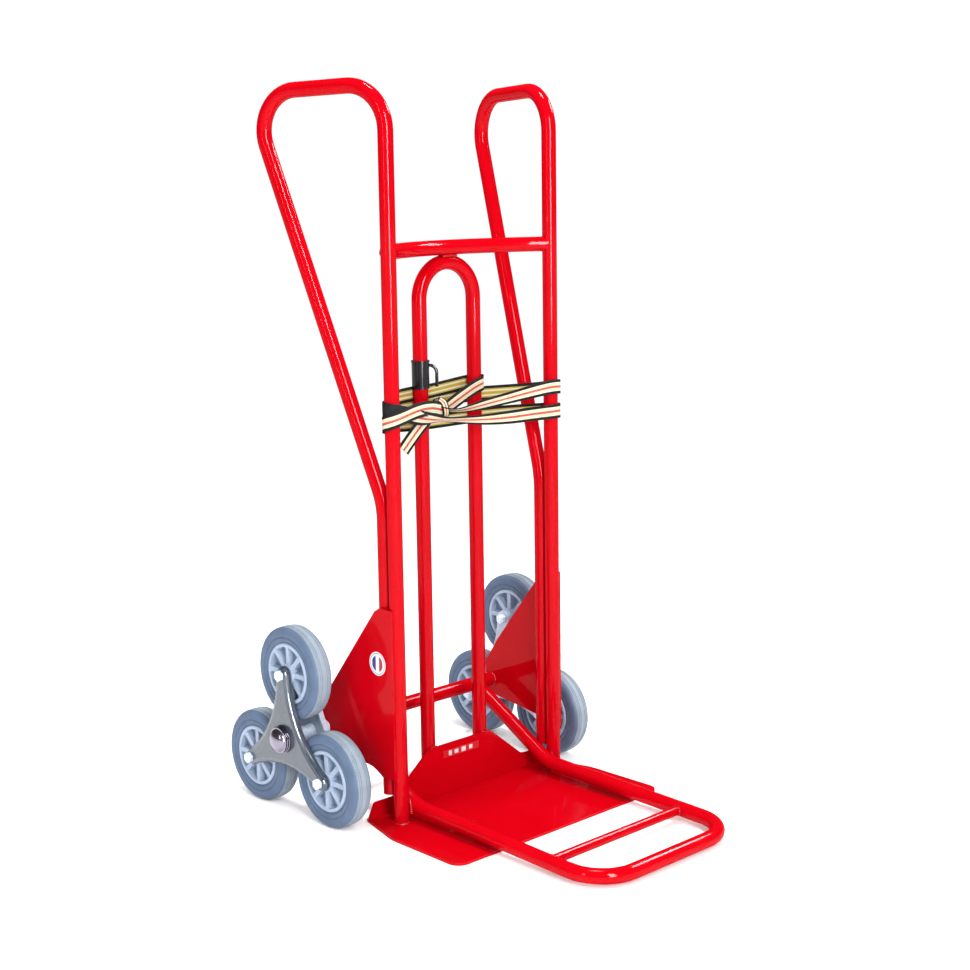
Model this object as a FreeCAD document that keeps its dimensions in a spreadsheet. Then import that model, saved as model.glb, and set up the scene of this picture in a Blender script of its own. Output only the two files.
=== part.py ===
"""Stair-climbing hand truck: a red tube frame on two three-wheel stars.

Frame of the part, in millimetres: +Z up, X across the truck, the toe frame towards -Y and the
wheels towards +Y. The origin is on the floor, under the middle of the truck's own box.
"""
import FreeCAD, Part
import math
import os

import Sketcher

Vector = FreeCAD.Vector
X_AXIS = Vector(1, 0, 0)
Y_AXIS = Vector(0, 1, 0)
Z_AXIS = Vector(0, 0, 1)

# Driving dimensions: alias, value in mm (or a count, or degrees where the note says so), note.
DIMENSIONS = [
    ("tube_size", 25, "outer diameter of every main tube"),
    ("tube_wall", 2, "wall of every main tube"),
    ("upright_side", 181, "axis of a front upright, from the middle plane"),
    ("upright_back", 46.6, "Y of both front upright axes"),
    ("handle_top", 1205, "axis height of the handle at its front corner"),
    ("handle_drop", 7, "how much lower the handle's rear corner is"),
    ("handle_side", 250, "X of the handle's rear corner"),
    ("handle_reach", 256, "how far the handle's rear corner lies behind the upright"),
    ("front_bend", 70, "bend radius at the top of the upright"),
    ("rear_bend", 65, "bend radius at the back of the handle"),
    ("knee_height", 540, "height where the sloping tube meets its vertical end"),
    ("knee_bend", 146, "bend radius of that knee"),
    ("rear_tube_gap", 0.4, "clear line between upright and rear tube"),
    ("rear_tube_foot", 50, "height of the open lower end of the rear tube"),
    ("plate_sheet", 5, "thickness of the toe plate"),
    ("cross_height", 945, "axis height of the upper cross tube"),
    ("cross_bow", 60, "how far the upper cross tube bows back at its middle"),
    ("arch_side", 61, "axis of an arch leg, from the middle plane"),
    ("arch_back", 65.6, "arch plane, behind the front uprights"),
    ("arch_top", 920.6, "axis height at the top of the arch"),
    ("arch_foot", 8, "lower end of the arch legs"),
    ("axle_back", 174.5, "axle, behind the front uprights"),
    ("axle_height", 135, "height of the axle"),
    ("axle_rod_size", 16, "diameter of the axle rod"),
    ("axle_rod_half", 298, "half length of the axle rod"),
    ("gusset_sheet", 4, "thickness of an axle gusset"),
    ("toe_side", 155.9, "axis of a toe frame leg where it turns up, from the middle plane"),
    ("toe_front_side", 158, "axis of a toe frame leg at its front corner, from the middle plane"),
    ("toe_bar_front", 383.8, "axis of the front bar, ahead of the origin"),
    ("toe_bar_height", 17.2, "axis height of the front bar"),
    ("toe_foot_height", 28.1, "axis height where a leg turns up towards the axle"),
    ("toe_foot_ahead", 12, "that turn, ahead of the front uprights"),
    ("toe_corner", 68, "bend radius of the toe frame's front corners"),
    ("toe_cross_size", 16, "diameter of the small cross bar"),
    ("toe_cross_ahead", 318, "small cross bar, ahead of the front uprights"),
    ("arm_reach", 110, "wheel axis from the axle"),
    ("arm_end", 15, "radius of a star plate's arm end"),
    ("star_waist", 47, "star plate's narrowest reach between two arms"),
    ("star_sheet", 2.5, "sheet of a star plate"),
    ("star_depth", 11, "depth of a star plate's folded edge"),
    ("star_outer_side", 291, "outer face of the outer star plate"),
    ("star_inner_side", 227, "outer face of the inner star plate"),
    ("hub_tube_size", 26, "diameter of the star's hub tube"),
    ("running_gap", 0.05, "radial clearance of each running fit"),
    ("wheel_size", 160, "diameter of a wheel"),
    ("wheel_width", 38, "width of a tyre"),
    ("wheel_middle", 259, "middle plane of the wheels, from the middle plane"),
    ("rim_size", 104, "where the tyre meets its hub"),
    ("rim_inner", 92, "inside of the hub's rim"),
    ("boss_size", 34, "diameter of the hub's boss"),
    ("boss_length", 39, "length of the hub's boss"),
    ("spoke_count", 8, "ribs on each side of a hub (a count)"),
    ("spoke_sheet", 4.5, "thickness of a rib"),
    ("sleeve_size", 16, "diameter of a wheel sleeve"),
    ("bolt_size", 10, "diameter of a wheel bolt"),
    ("hex_size", 16, "across the flats of bolt head and nut"),
    ("head_height", 6.4, "height of a bolt head"),
    ("nut_height", 8, "height of a nut"),
    ("cap_size", 48, "diameter of an axle cap"),
    ("cap_length", 14, "length of an axle cap"),
    ("cap_gap", 0.4, "gap between a cap or ring and the star plate"),
    ("collar_size", 22, "diameter of an axle collar"),
    ("collar_length", 14, "length of an axle collar"),
    ("ring_size", 26, "diameter of an axle retaining ring"),
    ("ring_sheet", 1.4, "thickness of an axle retaining ring"),
    ("strap_width", 25, "width of the webbing"),
    ("strap_sheet", 2, "thickness of the webbing"),
    ("strap_gap", 0.3, "air between webbing and tube"),
    ("clip_size", 29.6, "diameter of the strap clip's collar"),
    ("clip_length", 47, "length of the strap clip's collar"),
    ("clip_foot", 714, "lower end of the strap clip"),
    ("label_size", 40, "diameter of the round label"),
    ("label_sheet", 0.4, "thickness of a label"),
]

document = FreeCAD.newDocument("StairTruck")
sheet = document.addObject("Spreadsheet::Sheet", "Sizes")
for row, (alias, value, note) in enumerate(DIMENSIONS, start=1):
    sheet.set(f"A{row}", alias)
    sheet.set(f"B{row}", str(value))
    sheet.set(f"C{row}", note)
    sheet.setAlias(f"B{row}", alias)
document.recompute()

sub_parts = []


def size(alias):
    """The value of one driving dimension."""
    return float(getattr(sheet, alias))


def bind(item, **formulas):
    """Binds properties of an object to formulas of the sheet's aliases, written with a leading @."""
    for name, formula in formulas.items():
        item.setExpression(name, formula.replace("@", "Sizes."))


def keep(item, label):
    """Names an object as a finished sub-part."""
    item.Label = label
    sub_parts.append(item)
    return item


def turned(x, y, z, axis=Z_AXIS, angle=0):
    """A placement at a point, turned about an axis."""
    return FreeCAD.Placement(Vector(x, y, z), FreeCAD.Rotation(axis, angle))


def feature(label, shape, placement=None):
    """A finished sub-part whose shape is worked out in code."""
    item = document.addObject("Part::Feature", label)
    item.Shape = shape
    item.Placement = placement or FreeCAD.Placement()
    return keep(item, label)


def rod(name, diameter, length, placement):
    """A Part::Cylinder whose sizes are formulas of the sheet."""
    item = document.addObject("Part::Cylinder", name)
    bind(item, Radius=f"({diameter}) / 2", Height=length)
    item.Placement = placement
    return item


def cut(name, base, tool):
    """base minus tool."""
    item = document.addObject("Part::Cut", name)
    item.Base = base
    item.Tool = tool
    return item


def tube(name, outer, inner, length, placement):
    """A straight tube whose sizes are formulas of the sheet."""
    return cut(name, rod(f"{name}_solid", outer, length, placement), rod(f"{name}_bore", inner, length, placement))


def group(name, shapes):
    """Several separate solids in one sub-part."""
    item = document.addObject("Part::Compound", name)
    item.Links = shapes
    return keep(item, name)


# ---------------------------------------------------------------- bent tubes

def turn_at(before, corner, after, radius):
    """Where a rounded corner starts, its middle and where it ends."""
    back = (before - corner).normalize()
    ahead = (after - corner).normalize()
    half = back.getAngle(ahead) / 2
    inward = (back + ahead).normalize()
    run = radius / math.tan(half)
    middle = corner + inward * (radius / math.sin(half) - radius)
    return corner + back * run, middle, corner + ahead * run


def rounded_wire(corners, radii):
    """Straight runs joined by a tangent arc of its own radius at each inner corner."""
    edges = []
    start = corners[0]
    for before, corner, after, radius in zip(corners, corners[1:], corners[2:], radii):
        first, middle, last = turn_at(before, corner, after, radius)
        if start.distanceToPoint(first) > 0.001:
            edges.append(Part.LineSegment(start, first).toShape())
        edges.append(Part.Arc(first, middle, last).toShape())
        start = last
    if start.distanceToPoint(corners[-1]) > 0.001:
        edges.append(Part.LineSegment(start, corners[-1]).toShape())
    return Part.Wire(edges)


def swept(path, diameter):
    """A round bar along a path."""
    first = path.OrderedEdges[0]
    start = first.valueAt(first.FirstParameter)
    profile = Part.Wire(Part.makeCircle(diameter / 2, start, first.tangentAt(first.FirstParameter)))
    return path.makePipeShell([profile], True, False)


def bent_tube(corners, radii, outer, wall):
    """A hollow tube along rounded corners."""
    path = rounded_wire(corners, radii)
    return swept(path, outer).cut(swept(path, outer - 2 * wall))


def main_tube(corners, radii):
    """A bent tube of the truck's main size."""
    return bent_tube(corners, radii, size("tube_size"), size("tube_wall"))


def upright_bar(side):
    """The solid round bar that fills one front upright, used to fit other tubes to it."""
    foot = Vector(side * size("upright_side"), size("upright_back"), 0)
    return Part.makeCylinder(size("tube_size") / 2, size("handle_top"), foot, Z_AXIS)


def side_frame(label, side):
    """One tube: up as the front upright, back as the handle, and down again behind the upright."""
    upright = Vector(side * size("upright_side"), size("upright_back"), 0)
    rear_back = upright.y + size("tube_size") + size("rear_tube_gap")
    grip_top = size("handle_top")
    corners = [
        upright + Z_AXIS * size("plate_sheet"),
        upright + Z_AXIS * grip_top,
        Vector(side * size("handle_side"), upright.y + size("handle_reach"), grip_top - size("handle_drop")),
        Vector(upright.x, rear_back, size("knee_height")),
        Vector(upright.x, rear_back, size("rear_tube_foot")),
    ]
    return feature(label, main_tube(corners, [size("front_bend"), size("rear_bend"), size("knee_bend")]))


def upper_cross_tube():
    """The bowed tube between the front uprights, its ends fitted round them."""
    half = size("upright_side")
    bow = size("cross_bow")
    middle = Vector(0, size("upright_back") + bow, size("cross_height"))
    bend = (half ** 2 + bow ** 2) / (2 * bow)
    # The bar stops a little short of each upright's axis, so that its flat end lies inside the upright.
    reach = math.asin(half / bend) - 4 / bend
    drop = bend * (1 - math.cos(reach))
    side = bend * math.sin(reach)
    arc = Part.Arc(middle + Vector(-side, -drop, 0), middle, middle + Vector(side, -drop, 0))
    path = Part.Wire([arc.toShape()])
    bar = swept(path, size("tube_size"))
    bore = swept(path, size("tube_size") - 2 * size("tube_wall"))
    return feature("upper_cross_tube", bar.cut(bore).cut(upright_bar(-1)).cut(upright_bar(1)))


def inner_arch_tube():
    """The hairpin between the uprights, its legs behind the toe plate's upturned edge."""
    side = size("arch_side")
    back = size("upright_back") + size("arch_back")
    corners = [
        Vector(-side, back, size("arch_foot")),
        Vector(-side, back, size("arch_top")),
        Vector(side, back, size("arch_top")),
        Vector(side, back, size("arch_foot")),
    ]
    return feature("inner_arch_tube", main_tube(corners, [side, side]))


def toe_leg(side):
    """Where a toe frame leg turns up, and its front corner."""
    foot = Vector(side * size("toe_side"), size("upright_back") - size("toe_foot_ahead"), size("toe_foot_height"))
    front = Vector(side * size("toe_front_side"), -size("toe_bar_front"), size("toe_bar_height"))
    return foot, front


def toe_frame_tube():
    """One tube: from the axle tube down to the upright's foot, round the front and back up."""
    axle = Vector(0, size("upright_back") + size("axle_back"), size("axle_height"))
    half = [Vector(size("toe_side"), axle.y, axle.z), *toe_leg(1)]
    other = [Vector(-p.x, p.y, p.z) for p in reversed(half)]
    shape = main_tube(half + other, [90, size("toe_corner"), size("toe_corner"), 90])
    # The braces' ends are cut to the axle tube, with a hair of room for the weld.
    axle_bar = Part.makeCylinder(size("tube_size") / 2 + 0.02, 2 * size("upright_side"),
                                 Vector(-size("upright_side"), axle.y, axle.z), X_AXIS)
    return feature("toe_frame_tube", shape.cut(axle_bar))


def toe_cross_bar():
    """The small bar across the toe frame, its ends fitted round the two legs."""
    y = size("upright_back") - size("toe_cross_ahead")
    foot, front = toe_leg(1)
    middle = front + (foot - front) * ((y - front.y) / (foot.y - front.y))
    start = Vector(-middle.x, y, middle.z)
    bar = Part.makeCylinder(size("toe_cross_size") / 2, 2 * middle.x, start, X_AXIS)
    bar = bar.cut(Part.makeCylinder(size("toe_cross_size") / 2 - 1.5, 2 * middle.x, start, X_AXIS))
    for side in (-1, 1):
        foot, front = toe_leg(side)
        along = (foot - front).normalize()
        leg = Vector(side * middle.x, y, middle.z)
        bar = bar.cut(Part.makeCylinder(size("tube_size") / 2, 120, leg - along * 60, along))
    return feature("toe_cross_bar", bar)


# ---------------------------------------------------------------- sheet parts

def origin_plane(body, role):
    """One of a body's own origin planes."""
    return next(item for item in body.Origin.OriginFeatures if item.Role == role)


def sketch_on(body, role, name, offset=0):
    """An empty sketch on one of the body's origin planes, moved along the plane's normal."""
    sketch = body.newObject("Sketcher::SketchObject", name)
    sketch.AttachmentSupport = [(origin_plane(body, role), "")]
    sketch.MapMode = "FlatFace"
    sketch.AttachmentOffset = turned(0, 0, offset)
    return sketch


def draw_outline(sketch, corners, radii):
    """A closed outline of straight sides with a tangent arc at each corner that has a radius."""
    count = len(corners)
    turns = []
    for index, (corner, radius) in enumerate(zip(corners, radii)):
        if radius:
            turns.append(turn_at(corners[index - 1], corner, corners[(index + 1) % count], radius))
        else:
            turns.append((corner, corner, corner))
    for index, (first, middle, last) in enumerate(turns):
        if radii[index]:
            sketch.addGeometry(Part.ArcOfCircle(first, middle, last))
        following = turns[(index + 1) % count][0]
        sketch.addGeometry(Part.LineSegment(last, following))


def draw_circle(sketch, x, y, diameter):
    """A circle in a sketch; its diameter is a formula of the sheet."""
    circle = sketch.addGeometry(Part.Circle(Vector(x, y, 0), Z_AXIS, 5))
    constraint = sketch.addConstraint(Sketcher.Constraint("Diameter", circle, 10))
    sketch.setExpression(f"Constraints[{constraint}]", diameter.replace("@", "Sizes."))
    return circle


def mirrored_outline(half):
    """Corners and radii of an outline that is the same on both sides, from (x, y, radius) of one side."""
    both = half + [(-x, y, radius) for x, y, radius in reversed(half)]
    return [Vector(x, y, 0) for x, y, _ in both], [radius for _, _, radius in both]


def pad(body, sketch, name, length, **more):
    """A pad whose length is a formula of the sheet."""
    item = body.newObject("PartDesign::Pad", name)
    item.Profile = sketch
    bind(item, Length=length)
    for option, value in more.items():
        setattr(item, option, value)
    return item


def toe_plate():
    """The folded sheet: a flat plate on the floor with its rear edge turned up."""
    body = document.addObject("PartDesign::Body", "toe_plate")
    back = size("upright_back")
    fold = back + size("arch_back") - size("tube_size") / 2
    flat = sketch_on(body, "XY_Plane", "toe_plate_flat")
    draw_outline(flat, *mirrored_outline([
        (212, fold, 0),
        (238, back - 40, 60),
        (240, back - 202, 22),
    ]))
    pad(body, flat, "toe_plate_floor", "@plate_sheet")
    edge = sketch_on(body, "XZ_Plane", "toe_plate_edge", -fold)
    draw_outline(edge, *mirrored_outline([
        (212, 0, 0),
        (197, 30, 6),
        (150, 30, 30),
        (72, 93, 12),
    ]))
    pad(body, edge, "toe_plate_upturn", "@plate_sheet")
    document.recompute()
    upturn = body.Tip
    outside = [
        f"Edge{number}" for number, item in enumerate(upturn.Shape.Edges, start=1)
        if item.BoundBox.ZMax < 0.01 and abs(item.BoundBox.YMin - fold) < 0.01 and item.BoundBox.YLength < 0.01
    ]
    rounding = body.newObject("PartDesign::Fillet", "toe_plate_fold")
    rounding.Base = (upturn, outside)
    bind(rounding, Radius="@plate_sheet * 0.9")
    body.Tip = rounding
    return keep(body, "toe_plate")


def axle_gusset(label, side):
    """The flat plate outside the side frame's two tubes that carries the axle."""
    body = document.addObject("PartDesign::Body", label)
    back = size("upright_back")
    axle = Vector(back + size("axle_back"), size("axle_height"), 0)
    outline = sketch_on(body, "YZ_Plane", f"{label}_outline")
    corners = [
        (back - 4.5, 368.5, 0), (back + 25, 370, 6), (back + 38, 362, 5), (back + 157, 213, 60),
        (axle.x + 12.5, axle.y + 34, 16), (axle.x + 12.5, axle.y - 12, 10), (axle.x - 2, axle.y - 26, 10),
        (back + 51, 93, 30), (back + 24, 82, 10), (back - 4.5, 82, 0),
    ]
    draw_outline(outline, [Vector(y, z, 0) for y, z, _ in corners], [radius for _, _, radius in corners])
    draw_circle(outline, axle.x, axle.y, "@axle_rod_size")
    pad(body, outline, f"{label}_sheet", "@gusset_sheet")
    inner = size("upright_side") + size("tube_size") / 2
    body.Placement = turned(inner if side > 0 else -inner - size("gusset_sheet"), 0, 0)
    return keep(body, label)


def star_outline(sketch, inset):
    """Three round arm ends joined by hollow sides; inset draws the same shape that much smaller."""
    reach = size("arm_reach")
    end = size("arm_end")
    waist = size("star_waist")
    # The hollow side's circle touches two arm ends: (far - waist + end)^2 = far^2 + reach^2 - far * reach.
    far = (reach ** 2 - (end - waist) ** 2) / (reach + 2 * (end - waist))
    hollow = far - waist + inset
    end = end - inset
    for arm in range(3):
        heading = math.radians(90 + 120 * arm)
        tip = Vector(reach * math.cos(heading), reach * math.sin(heading), 0)
        contacts = []
        for turn in (-60, 60):
            toward = heading + math.radians(turn)
            pivot = Vector(far * math.cos(toward), far * math.sin(toward), 0)
            contacts.append(tip + (pivot - tip).normalize() * end)
        outermost = tip + Vector(tip).normalize() * end
        sketch.addGeometry(Part.ArcOfCircle(contacts[0], outermost, contacts[1]))
        toward = heading + math.radians(60)
        centre = Vector(far * math.cos(toward), far * math.sin(toward), 0)
        waist_point = centre - Vector(centre).normalize() * hollow
        next_tip = Vector(reach * math.cos(heading + math.radians(120)),
                          reach * math.sin(heading + math.radians(120)), 0)
        arrival = next_tip + (centre - next_tip).normalize() * end
        sketch.addGeometry(Part.ArcOfCircle(contacts[1], waist_point, arrival))


def wheel_places():
    """Name, Y and Z offset from the axle of the three wheels of a star."""
    places = []
    for name, heading in (("upper", 90), ("front", 210), ("rear", 330)):
        angle = math.radians(heading)
        places.append((name, size("arm_reach") * math.cos(angle), size("arm_reach") * math.sin(angle)))
    return places


def axle_point(x):
    """A point on the axle line."""
    return Vector(x, size("upright_back") + size("axle_back"), size("axle_height"))


def star_plate(label, x, angle):
    """A pressed star: flat face with its edge folded towards the wheels."""
    body = document.addObject("PartDesign::Body", label)
    outline = sketch_on(body, "YZ_Plane", f"{label}_outline")
    star_outline(outline, 0)
    pad(body, outline, f"{label}_blank", "@star_depth")
    hollow = sketch_on(body, "YZ_Plane", f"{label}_hollow")
    star_outline(hollow, size("star_sheet"))
    pocket = body.newObject("PartDesign::Pocket", f"{label}_dish")
    pocket.Profile = hollow
    pocket.Reversed = True
    bind(pocket, Length="@star_depth - @star_sheet")
    holes = sketch_on(body, "YZ_Plane", f"{label}_holes")
    for _, y, z in wheel_places():
        draw_circle(holes, y, z, "@bolt_size")
    draw_circle(holes, 0, 0, "@axle_rod_size + 1")
    drilled = body.newObject("PartDesign::Pocket", f"{label}_drilled")
    drilled.Profile = holes
    drilled.Reversed = True
    drilled.Type = "ThroughAll"
    document.recompute()
    face = max(drilled.Shape.Faces, key=lambda item: item.CenterOfMass.x)
    rim = [
        f"Edge{number}" for number, item in enumerate(drilled.Shape.Edges, start=1)
        if any(item.isSame(other) for other in face.OuterWire.Edges)
    ]
    softened = body.newObject("PartDesign::Fillet", f"{label}_rim")
    softened.Base = (drilled, rim)
    bind(softened, Radius="@star_sheet * 0.9")
    body.Tip = softened
    place = axle_point(x)
    body.Placement = turned(place.x, place.y, place.z, Z_AXIS, angle)
    return keep(body, label)


# ---------------------------------------------------------------- axle and stars

ALONG_X = FreeCAD.Rotation(Y_AXIS, 90)


def along_x(x, y, z):
    """A placement for a cylinder that starts at a point and runs along +X."""
    return FreeCAD.Placement(Vector(x, y, z), ALONG_X)


def along_axle(x):
    """A placement for a cylinder on the axle line that starts at x and runs along +X."""
    point = axle_point(x)
    return along_x(point.x, point.y, point.z)


def revolved(name, profile, placement):
    """A body turned about its own X axis from a closed half outline of (x, radius, corner radius)."""
    body = document.addObject("PartDesign::Body", name)
    sketch = sketch_on(body, "XY_Plane", f"{name}_profile")
    draw_outline(sketch, [Vector(x, y, 0) for x, y, _ in profile], [radius for _, _, radius in profile])
    turning = body.newObject("PartDesign::Revolution", f"{name}_turned")
    turning.Profile = sketch
    turning.ReferenceAxis = (sketch, ["H_Axis"])
    turning.Angle = 360
    body.Placement = placement
    return body


def axle():
    """The axle tube, the rod through it and what sits on the rod on both sides."""
    span = size("upright_side") + size("tube_size") / 2
    keep(tube("axle_tube", "@tube_size", "@tube_size - 2 * @tube_wall", "2 * @upright_side + @tube_size",
              along_axle(-span)), "axle_tube")
    keep(rod("axle_rod", "@axle_rod_size", "2 * @axle_rod_half", along_axle(-size("axle_rod_half"))), "axle_rod")
    for name, side in (("left", -1), ("right", 1)):
        start = span + size("gusset_sheet")
        low = start if side > 0 else -start - size("collar_length")
        keep(tube(f"{name}_axle_collar", "@collar_size", "@axle_rod_size", "@collar_length", along_axle(low)),
             f"{name}_axle_collar")
        start = size("star_inner_side") - size("cap_gap") - size("ring_sheet")
        low = start if side > 0 else -start - size("ring_sheet")
        keep(tube(f"{name}_retaining_ring", "@ring_size", "@axle_rod_size", "@ring_sheet", along_axle(low)),
             f"{name}_retaining_ring")
        axle_cap(f"{name}_axle_cap", side)


def axle_cap(label, side):
    """The stepped, domed cap pressed on the end of the axle rod."""
    radius = size("cap_size") / 2
    bore = size("axle_rod_size") / 2
    depth = size("axle_rod_half") - size("star_outer_side") - size("cap_gap")
    length = size("cap_length")
    profile = [
        (0, bore, 0), (0, radius, 0), (2.2, radius, 0.8), (2.2, radius - 2.2, 0), (3.6, radius - 2.2, 0),
        (3.6, radius - 0.6, 0.5), (6.2, radius - 0.6, 0.8), (6.2, radius - 3, 0),
        (length - 2.2, radius - 3.4, 7), (length, 0, 0), (depth, 0, 0), (depth, bore, 0),
    ]
    point = axle_point(side * (size("star_outer_side") + size("cap_gap")))
    body = revolved(label, profile, turned(point.x, point.y, point.z, Z_AXIS, 0 if side > 0 else 180))
    return keep(body, label)


def tyre(label, placement):
    """A solid rubber tyre with three fine lines round each shoulder."""
    half = size("wheel_width") / 2
    outer = size("wheel_size") / 2
    inner = size("rim_size") / 2
    groove = 0.7
    depth = 0.8
    one_side = [(0, outer, 0)]
    for x in (half - 13, half - 10.2, half - 7.4):
        one_side += [(x, outer, 0), (x, outer - depth, 0), (x + groove, outer - depth, 0), (x + groove, outer, 0)]
    one_side += [(half - 1.5, outer - 2.5, 7), (half, outer - 14, 10), (half - 2, inner + 4, 4), (half - 2, inner, 0)]
    other = [(-x, y, radius) for x, y, radius in reversed(one_side[1:])]
    return keep(revolved(label, one_side + other, placement), label)


def wheel_hub(label, placement):
    """A plastic hub: rim with a raised lip, thin web, boss and ribs on both sides of the web."""
    half = size("wheel_width") / 2
    rim = size("rim_size") / 2
    inside = size("rim_inner") / 2
    boss = size("boss_size") / 2
    bore = size("sleeve_size") / 2 + size("running_gap")
    web = 2
    one_side = [
        (half - 2.4, rim, 0), (half - 0.6, rim - 1.4, 1), (half - 0.6, inside + 1.2, 1), (half - 3, inside, 0),
        (web, inside - 1.5, 4), (web, boss + 1, 4), (size("boss_length") / 2, boss, 1.5),
        (size("boss_length") / 2, bore, 0),
    ]
    other = [(-x, y, radius) for x, y, radius in reversed(one_side)]
    body = revolved(label, one_side + other, placement)
    document.recompute()
    ribs = sketch_on(body, "YZ_Plane", f"{label}_rib_outline")
    sheet_half = size("spoke_sheet") / 2
    draw_outline(ribs, [Vector(boss - 2, -sheet_half, 0), Vector(inside + 2, -sheet_half, 0),
                        Vector(inside + 2, sheet_half, 0), Vector(boss - 2, sheet_half, 0)], [0, 0, 0, 0])
    rib = body.newObject("PartDesign::Pad", f"{label}_rib")
    rib.Profile = ribs
    rib.Midplane = True
    bind(rib, Length="@wheel_width - 10")
    pattern = body.newObject("PartDesign::PolarPattern", f"{label}_ribs")
    pattern.Originals = [rib]
    pattern.Axis = (next(item for item in body.Origin.OriginFeatures if item.Role == "X_Axis"), [""])
    pattern.Angle = 360
    bind(pattern, Occurrences="@spoke_count")
    body.Tip = pattern
    return keep(body, label)


def hexagon_nut(name, height, bore, placement):
    """A hexagon of the sheet's size across flats, bored if bore is given."""
    prism = document.addObject("Part::Prism", f"{name}_prism")
    prism.Polygon = 6
    bind(prism, Circumradius="@hex_size / sqrt(3)", Height=height)
    prism.Placement = placement
    if bore is None:
        return prism
    return cut(name, prism, rod(f"{name}_bore", bore, height, placement))


def wheel_fixings(name, side):
    """The three sleeves, bolts and nuts of one star, each kind in one sub-part."""
    outer = size("star_outer_side")
    inner = size("star_inner_side")
    gap = size("star_sheet")
    sleeves = []
    bolts = []
    nuts = []
    for wheel, y, z in wheel_places():
        point = axle_point(0) + Vector(0, y, z)
        tag = f"{name}_{wheel}"

        def span(near, length):
            """A cylinder's placement between near and near + length out from the middle plane."""
            start = near if side > 0 else -near - length
            return along_x(start, point.y, point.z)

        inside = outer - inner - 2 * gap
        sleeves.append(tube(f"{tag}_sleeve", "@sleeve_size", "@bolt_size",
                            "@star_outer_side - @star_inner_side - 2 * @star_sheet", span(inner + gap, inside)))
        shank_length = outer - inner + size("nut_height") + 2
        shank = rod(f"{tag}_shank", "@bolt_size", "@star_outer_side - @star_inner_side + @nut_height + 2",
                    span(outer - shank_length, shank_length))
        head = hexagon_nut(f"{tag}_head", "@head_height", None, span(outer, size("head_height")))
        bolt = document.addObject("Part::Fuse", f"{tag}_bolt")
        bolt.Base = shank
        bolt.Tool = head
        bolts.append(bolt)
        nuts.append(hexagon_nut(f"{tag}_nut", "@nut_height", "@bolt_size",
                                span(inner - size("nut_height"), size("nut_height"))))
    group(f"{name}_wheel_sleeves", sleeves)
    group(f"{name}_wheel_bolts", bolts)
    group(f"{name}_wheel_nuts", nuts)


def star(name, side):
    """One three-wheel star: two pressed plates on a hub tube, with three wheels between them."""
    outer = size("star_outer_side") - size("star_depth")
    inner = size("star_inner_side") + size("star_depth")
    star_plate(f"{name}_star_outer_plate", side * outer, 0 if side > 0 else 180)
    star_plate(f"{name}_star_inner_plate", side * inner, 180 if side > 0 else 0)
    inside = size("star_outer_side") - size("star_inner_side") - 2 * size("star_sheet")
    near = size("star_inner_side") + size("star_sheet")
    keep(tube(f"{name}_star_hub_tube", "@hub_tube_size", "@axle_rod_size + 2 * @running_gap",
              "@star_outer_side - @star_inner_side - 2 * @star_sheet",
              along_axle(near if side > 0 else -near - inside)), f"{name}_star_hub_tube")
    wheel_fixings(name, side)
    for wheel, y, z in wheel_places():
        point = axle_point(side * size("wheel_middle")) + Vector(0, y, z)
        place = turned(point.x, point.y, point.z)
        tyre(f"{name}_{wheel}_tyre", place)
        wheel_hub(f"{name}_{wheel}_hub", place)


# ---------------------------------------------------------------- strap, clip and labels

def band(corners, radius, low, width, thickness):
    """A closed band round upright tubes at the corners, its inner face at radius from their axes."""
    outlines = []
    for reach in (radius, radius + thickness):
        if len(corners) == 2:
            left, right = corners
            side = Vector(0, reach, 0)
            edges = [
                Part.LineSegment(left - side, right - side).toShape(),
                Part.Arc(right - side, right + X_AXIS * reach, right + side).toShape(),
                Part.LineSegment(right + side, left + side).toShape(),
                Part.Arc(left + side, left - X_AXIS * reach, left - side).toShape(),
            ]
            outlines.append(Part.Wire(edges))
        else:
            outlines.append(Part.makePolygon(corners + corners[:1]).makeOffset2D(reach))
    ring = Part.Face(outlines[1]).cut(Part.Face(outlines[0]))
    ring.translate(Z_AXIS * low)
    return ring.extrude(Z_AXIS * width)


def strap():
    """The webbing wound round the uprights and the arch legs, with its knot and loose end."""
    tube_radius = size("tube_size") / 2
    back = size("upright_back")
    legs = back + size("arch_back")
    width = size("strap_width")
    thickness = size("strap_sheet")
    around = tube_radius + size("strap_gap")
    # The turns round the uprights pass behind the turn round the arch legs.
    outside = legs + 1.5 * thickness
    uprights = [
        Vector(-size("upright_side"), back, 0), Vector(size("upright_side"), back, 0),
        Vector(size("arch_side"), outside, 0), Vector(-size("arch_side"), outside, 0),
    ]
    feature("strap_upper_turn", band(uprights, around, 681.5, width, thickness))
    feature("strap_lower_turn", band(uprights, around, 646, width, thickness))
    arch_legs = [Vector(-size("arch_side"), legs, 0), Vector(size("arch_side"), legs, 0)]
    feature("strap_leg_turn", band(arch_legs, around, 688.5, width, thickness))
    front = legs - around - thickness - size("strap_gap")
    knot = document.addObject("Part::Box", "strap_knot")
    bind(knot, Length="@strap_width + 3", Height="@strap_width + 3")
    knot.Width = 9
    knot.Placement = turned(-56, front - 9, 668)
    keep(knot, "strap_knot")
    tail = document.addObject("Part::Box", "strap_tail")
    bind(tail, Height="@strap_width", Width="@strap_sheet")
    tail.Length = 84
    slope = FreeCAD.Rotation(Y_AXIS, 180 - 43)
    tail.Placement = FreeCAD.Placement(Vector(-58.4, front - 6, 684), slope)
    keep(tail, "strap_tail")


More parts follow.
